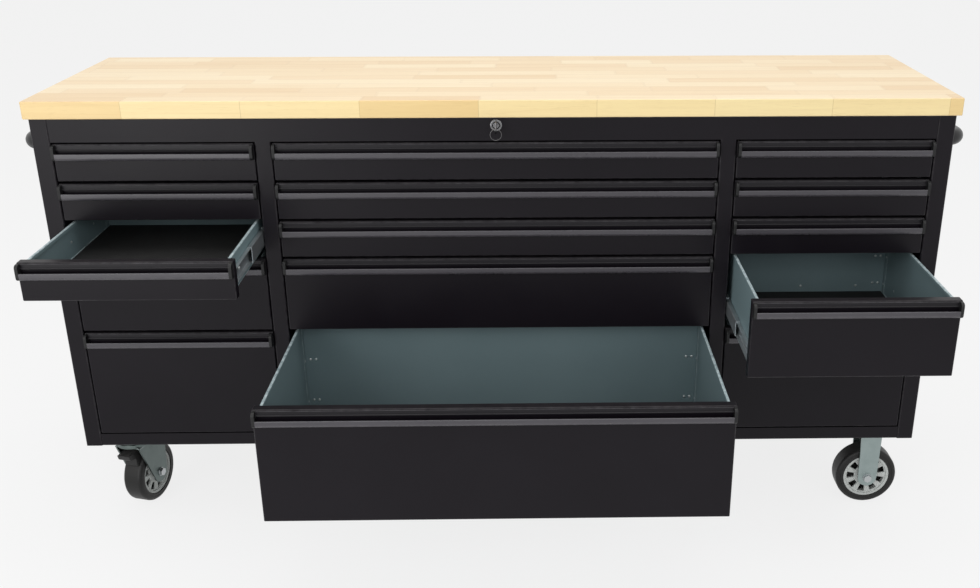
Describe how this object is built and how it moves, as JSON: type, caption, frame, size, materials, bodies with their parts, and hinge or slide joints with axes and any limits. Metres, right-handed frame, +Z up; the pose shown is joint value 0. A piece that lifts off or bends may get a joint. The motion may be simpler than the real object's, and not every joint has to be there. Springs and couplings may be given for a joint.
{
  "type": "rolling tool cabinet",
  "caption": "Wide, low tool cabinet on casters: columns of drawers with full-width hooked pulls, wooden worktop, push handle at each end, key lock in the top rail.",
  "frame": {"origin": "on the floor, under the middle of the cabinet's outline with its three drawers drawn out as at rest", "axes": "+X along the width to the right end, -Y to the front, +Z up"},
  "size_m": [1.934, 0.856, 0.946],
  "materials": {
    "wood": "finger-jointed light hardwood, satin lacquer",
    "body_paint": "black powder coat, fine texture",
    "drawer_paint": "black powder coat, fine texture",
    "zinc": "bright zinc plate",
    "bolt": "zinc plate",
    "lock_chrome": "polished",
    "key": "nickel plate",
    "handle": "black powder coat, satin",
    "pedal": "moulded black nylon",
    "tyre": "black rubber tread",
    "rim": "light grey moulded nylon"
  },
  "bodies": {
    "cabinet": {"worktop": "wood", "left_side_panel": "body_paint", "right_side_panel": "body_paint", "back_panel": "body_paint", "base_pan": "body_paint", "left_divider": "body_paint", "right_divider": "body_paint", "top_rail": "body_paint", "rear_top_rail": "body_paint", "cabinet_runners": "zinc", "lock_housing": "lock_chrome", "left_push_handle": "handle", "right_push_handle": "handle", "swivel_caster_plates": "zinc", "rigid_caster_forks": "zinc", "caster_bolts": "bolt"},
    "lock_key": {"lock_key": "key"},
    "key_ring": {"key_ring": "key"},
    "front_swivel": {"front_swivel_fork": "zinc"},
    "front_brake": {"front_brake_pedal": "pedal"},
    "front_left_wheel": {"front_left_tyre": "tyre", "front_left_rim": "rim"},
    "front_right_wheel": {"front_right_tyre": "tyre", "front_right_rim": "rim"},
    "rear_swivel": {"rear_swivel_fork": "zinc"},
    "rear_brake": {"rear_brake_pedal": "pedal"},
    "rear_left_wheel": {"rear_left_tyre": "tyre", "rear_left_rim": "rim"},
    "rear_right_wheel": {"rear_right_tyre": "tyre", "rear_right_rim": "rim"},
    "drawer_left_1": {"drawer_left_1": "drawer_paint"},
    "slide_left_1": {"slide_left_1": "zinc"},
    "drawer_left_2": {"drawer_left_2": "drawer_paint"},
    "slide_left_2": {"slide_left_2": "zinc"},
    "drawer_left_3": {"drawer_left_3": "drawer_paint"},
    "slide_left_3": {"slide_left_3": "zinc"},
    "drawer_left_4": {"drawer_left_4": "drawer_paint"},
    "slide_left_4": {"slide_left_4": "zinc"},
    "drawer_left_5": {"drawer_left_5": "drawer_paint"},
    "slide_left_5": {"slide_left_5": "zinc"},
    "drawer_centre_1": {"drawer_centre_1": "drawer_paint"},
    "slide_centre_1": {"slide_centre_1": "zinc"},
    "drawer_centre_2": {"drawer_centre_2": "drawer_paint"},
    "slide_centre_2": {"slide_centre_2": "zinc"},
    "drawer_centre_3": {"drawer_centre_3": "drawer_paint"},
    "slide_centre_3": {"slide_centre_3": "zinc"},
    "drawer_centre_4": {"drawer_centre_4": "drawer_paint"},
    "slide_centre_4": {"slide_centre_4": "zinc"},
    "drawer_centre_5": {"drawer_centre_5": "drawer_paint"},
    "slide_centre_5": {"slide_centre_5": "zinc"},
    "drawer_right_1": {"drawer_right_1": "drawer_paint"},
    "slide_right_1": {"slide_right_1": "zinc"},
    "drawer_right_2": {"drawer_right_2": "drawer_paint"},
    "slide_right_2": {"slide_right_2": "zinc"},
    "drawer_right_3": {"drawer_right_3": "drawer_paint"},
    "slide_right_3": {"slide_right_3": "zinc"},
    "drawer_right_4": {"drawer_right_4": "drawer_paint"},
    "slide_right_4": {"slide_right_4": "zinc"},
    "drawer_right_5": {"drawer_right_5": "drawer_paint"},
    "slide_right_5": {"slide_right_5": "zinc"}
  },
  "joints": [
    {"name": "lock_turn", "type": "hinge", "parent": "cabinet", "child": "lock_key", "pos_m": [0, -0.059, 0.895], "axis": [0, 1, 0], "range_deg": [0, 90]},
    {"name": "key_ring_swing", "type": "hinge", "parent": "lock_key", "child": "key_ring", "pos_m": [0, -0.087, 0.8933], "axis": [1, 0, 0], "range_deg": [-70, 40]},
    {"name": "front_swivel_turn", "type": "hinge", "parent": "cabinet", "child": "front_swivel", "pos_m": [-0.829, 0.005, 0.16], "axis": [0, 0, 1], "continuous": true},
    {"name": "front_brake_lift", "type": "hinge", "parent": "front_swivel", "child": "front_brake", "pos_m": [-0.82538, 0.01852, 0.146], "axis": [-0.9659, 0.2588, 0], "range_deg": [0, 8]},
    {"name": "front_left_wheel_spin", "type": "hinge", "parent": "front_swivel", "child": "front_left_wheel", "pos_m": [-0.81916, 0.04171, 0.0685], "axis": [0.9659, -0.2588, 0], "continuous": true},
    {"name": "front_right_wheel_spin", "type": "hinge", "parent": "cabinet", "child": "front_right_wheel", "pos_m": [0.829, 0.005, 0.0685], "axis": [0, 1, 0], "continuous": true},
    {"name": "rear_swivel_turn", "type": "hinge", "parent": "cabinet", "child": "rear_swivel", "pos_m": [-0.829, 0.357, 0.16], "axis": [0, 0, 1], "continuous": true},
    {"name": "rear_brake_lift", "type": "hinge", "parent": "rear_swivel", "child": "rear_brake", "pos_m": [-0.81584, 0.35221, 0.146], "axis": [0.342, 0.9397, 0], "range_deg": [0, 8]},
    {"name": "rear_left_wheel_spin", "type": "hinge", "parent": "rear_swivel", "child": "rear_left_wheel", "pos_m": [-0.79329, 0.344, 0.0685], "axis": [-0.342, -0.9397, 0], "continuous": true},
    {"name": "rear_right_wheel_spin", "type": "hinge", "parent": "cabinet", "child": "rear_right_wheel", "pos_m": [0.829, 0.357, 0.0685], "axis": [0, 1, 0], "continuous": true},
    {"name": "drawer_left_1_slide", "type": "slide", "parent": "cabinet", "child": "drawer_left_1", "axis": [0, -1, 0], "range_m": [0, 0.385]},
    {"name": "slide_left_1_run", "type": "slide", "parent": "cabinet", "child": "slide_left_1", "axis": [0, -1, 0], "range_m": [0, 0.1925]},
    {"name": "drawer_left_2_slide", "type": "slide", "parent": "cabinet", "child": "drawer_left_2", "axis": [0, -1, 0], "range_m": [0, 0.385]},
    {"name": "slide_left_2_run", "type": "slide", "parent": "cabinet", "child": "slide_left_2", "axis": [0, -1, 0], "range_m": [0, 0.1925]},
    {"name": "drawer_left_3_slide", "type": "slide", "parent": "cabinet", "child": "drawer_left_3", "axis": [0, -1, 0], "range_m": [-0.232, 0.153]},
    {"name": "slide_left_3_run", "type": "slide", "parent": "cabinet", "child": "slide_left_3", "axis": [0, -1, 0], "range_m": [-0.116, 0.0765]},
    {"name": "drawer_left_4_slide", "type": "slide", "parent": "cabinet", "child": "drawer_left_4", "axis": [0, -1, 0], "range_m": [0, 0.385]},
    {"name": "slide_left_4_run", "type": "slide", "parent": "cabinet", "child": "slide_left_4", "axis": [0, -1, 0], "range_m": [0, 0.1925]},
    {"name": "drawer_left_5_slide", "type": "slide", "parent": "cabinet", "child": "drawer_left_5", "axis": [0, -1, 0], "range_m": [0, 0.385]},
    {"name": "slide_left_5_run", "type": "slide", "parent": "cabinet", "child": "slide_left_5", "axis": [0, -1, 0], "range_m": [0, 0.1925]},
    {"name": "drawer_centre_1_slide", "type": "slide", "parent": "cabinet", "child": "drawer_centre_1", "axis": [0, -1, 0], "range_m": [0, 0.385]},
    {"name": "slide_centre_1_run", "type": "slide", "parent": "cabinet", "child": "slide_centre_1", "axis": [0, -1, 0], "range_m": [0, 0.1925]},
    {"name": "drawer_centre_2_slide", "type": "slide", "parent": "cabinet", "child": "drawer_centre_2", "axis": [0, -1, 0], "range_m": [0, 0.385]},
    {"name": "slide_centre_2_run", "type": "slide", "parent": "cabinet", "child": "slide_centre_2", "axis": [0, -1, 0], "range_m": [0, 0.1925]},
    {"name": "drawer_centre_3_slide", "type": "slide", "parent": "cabinet", "child": "drawer_centre_3", "axis": [0, -1, 0], "range_m": [0, 0.385]},
    {"name": "slide_centre_3_run", "type": "slide", "parent": "cabinet", "child": "slide_centre_3", "axis": [0, -1, 0], "range_m": [0, 0.1925]},
    {"name": "drawer_centre_4_slide", "type": "slide", "parent": "cabinet", "child": "drawer_centre_4", "axis": [0, -1, 0], "range_m": [0, 0.385]},
    {"name": "slide_centre_4_run", "type": "slide", "parent": "cabinet", "child": "slide_centre_4", "axis": [0, -1, 0], "range_m": [0, 0.1925]},
    {"name": "drawer_centre_5_slide", "type": "slide", "parent": "cabinet", "child": "drawer_centre_5", "axis": [0, -1, 0], "range_m": [-0.352, 0.033]},
    {"name": "slide_centre_5_run", "type": "slide", "parent": "cabinet", "child": "slide_centre_5", "axis": [0, -1, 0], "range_m": [-0.176, 0.0165]},
    {"name": "drawer_right_1_slide", "type": "slide", "parent": "cabinet", "child": "drawer_right_1", "axis": [0, -1, 0], "range_m": [0, 0.385]},
    {"name": "slide_right_1_run", "type": "slide", "parent": "cabinet", "child": "slide_right_1", "axis": [0, -1, 0], "range_m": [0, 0.1925]},
    {"name": "drawer_right_2_slide", "type": "slide", "parent": "cabinet", "child": "drawer_right_2", "axis": [0, -1, 0], "range_m": [0, 0.385]},
    {"name": "slide_right_2_run", "type": "slide", "parent": "cabinet", "child": "slide_right_2", "axis": [0, -1, 0], "range_m": [0, 0.1925]},
    {"name": "drawer_right_3_slide", "type": "slide", "parent": "cabinet", "child": "drawer_right_3", "axis": [0, -1, 0], "range_m": [0, 0.385]},
    {"name": "slide_right_3_run", "type": "slide", "parent": "cabinet", "child": "slide_right_3", "axis": [0, -1, 0], "range_m": [0, 0.1925]},
    {"name": "drawer_right_4_slide", "type": "slide", "parent": "cabinet", "child": "drawer_right_4", "axis": [0, -1, 0], "range_m": [-0.248, 0.137]},
    {"name": "slide_right_4_run", "type": "slide", "parent": "cabinet", "child": "slide_right_4", "axis": [0, -1, 0], "range_m": [-0.124, 0.0685]},
    {"name": "drawer_right_5_slide", "type": "slide", "parent": "cabinet", "child": "drawer_right_5", "axis": [0, -1, 0], "range_m": [0, 0.385]},
    {"name": "slide_right_5_run", "type": "slide", "parent": "cabinet", "child": "slide_right_5", "axis": [0, -1, 0], "range_m": [0, 0.1925]}
  ],
  "couplings": [
    {"joint": "slide_left_1_run", "follows": "drawer_left_1_slide", "ratio": 0.5},
    {"joint": "slide_left_2_run", "follows": "drawer_left_2_slide", "ratio": 0.5},
    {"joint": "slide_left_3_run", "follows": "drawer_left_3_slide", "ratio": 0.5},
    {"joint": "slide_left_4_run", "follows": "drawer_left_4_slide", "ratio": 0.5},
    {"joint": "slide_left_5_run", "follows": "drawer_left_5_slide", "ratio": 0.5},
    {"joint": "slide_centre_1_run", "follows": "drawer_centre_1_slide", "ratio": 0.5},
    {"joint": "slide_centre_2_run", "follows": "drawer_centre_2_slide", "ratio": 0.5},
    {"joint": "slide_centre_3_run", "follows": "drawer_centre_3_slide", "ratio": 0.5},
    {"joint": "slide_centre_4_run", "follows": "drawer_centre_4_slide", "ratio": 0.5},
    {"joint": "slide_centre_5_run", "follows": "drawer_centre_5_slide", "ratio": 0.5},
    {"joint": "slide_right_1_run", "follows": "drawer_right_1_slide", "ratio": 0.5},
    {"joint": "slide_right_2_run", "follows": "drawer_right_2_slide", "ratio": 0.5},
    {"joint": "slide_right_3_run", "follows": "drawer_right_3_slide", "ratio": 0.5},
    {"joint": "slide_right_4_run", "follows": "drawer_right_4_slide", "ratio": 0.5},
    {"joint": "slide_right_5_run", "follows": "drawer_right_5_slide", "ratio": 0.5}
  ]
}
